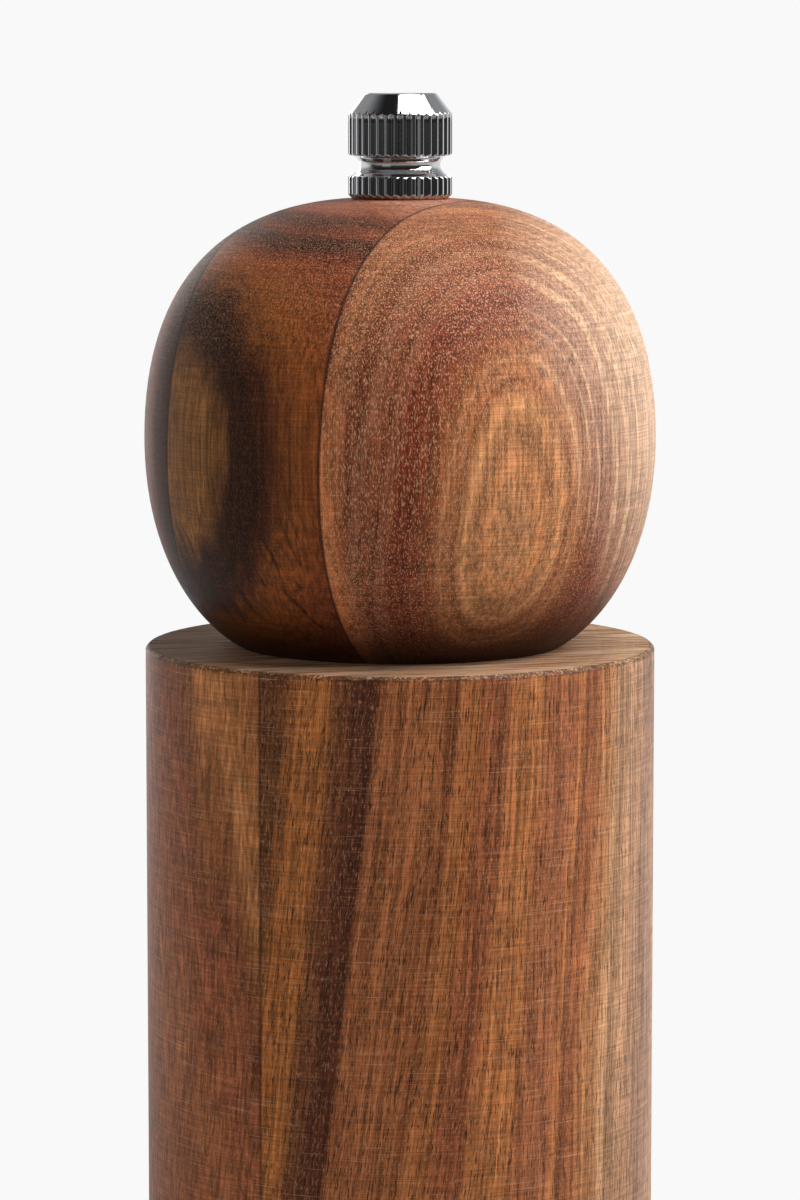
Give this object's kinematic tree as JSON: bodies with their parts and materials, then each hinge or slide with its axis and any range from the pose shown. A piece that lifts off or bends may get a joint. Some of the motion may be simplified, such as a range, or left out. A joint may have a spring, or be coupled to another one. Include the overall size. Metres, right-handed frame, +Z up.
{
  "type": "pepper mill",
  "caption": "Tall wooden pepper mill with a straight barrel, a ball head that turns to grind, a knurled chrome knob that sets the grind, and a ceramic grinder in the foot.",
  "frame": {"origin": "middle of the foot, on the plane that the mill stands on", "axes": "+Z up along the mill's axis; the picture looks along +Y with +X to its right"},
  "size_m": [0.058, 0.058, 0.2],
  "materials": {
    "barrel_wood": "oiled, turned from a glued blank",
    "head_wood": "oiled, turned from a glued blank",
    "knob_chrome": "polished chrome plate, knurled",
    "bar_steel": "drawn bar",
    "pressed_steel": "pressed plate",
    "screw_steel": "zinc-plated",
    "housing_plastic": "moulded",
    "bearing_plastic": "moulded bearing plastic",
    "burr_ceramic": "sintered",
    "spring_steel": "drawn wire",
    "clip_steel": "phosphated"
  },
  "bodies": {
    "base": {"barrel": "barrel_wood", "grinder_housing": "housing_plastic", "housing_screws": "screw_steel", "stator_burr": "burr_ceramic", "stator_retainer": "housing_plastic"},
    "bush": {"shaft_bush": "bearing_plastic", "spring": "spring_steel"},
    "spindle": {"shaft": "bar_steel", "rotor_burr": "burr_ceramic", "rotor_carrier": "bearing_plastic", "clip_washer": "clip_steel", "retaining_clip": "clip_steel"},
    "top": {"head": "head_wood", "drive_plate": "pressed_steel", "drive_plate_screws": "screw_steel"},
    "knob": {"finial_knob": "knob_chrome"}
  },
  "joints": [
    {"name": "head_turn", "type": "hinge", "parent": "base", "child": "bush", "pos_m": [0, 0, 0.0265], "axis": [0, 0, 1], "continuous": true},
    {"name": "shaft_lift", "type": "slide", "parent": "bush", "child": "spindle", "axis": [0, 0, 1], "range_m": [-0.0012, 0.0004], "deforming": ["spring"]},
    {"name": "head_lift", "type": "slide", "parent": "bush", "child": "top", "axis": [0, 0, 1], "range_m": [0, 0.08]},
    {"name": "knob_turn", "type": "hinge", "parent": "top", "child": "knob", "pos_m": [0, 0, 0.194], "axis": [0, 0, 1], "range_deg": [-181, 541]}
  ],
  "couplings": [
    {"joint": "knob_turn", "follows": "shaft_lift", "rad_per_m": -7854}
  ]
}
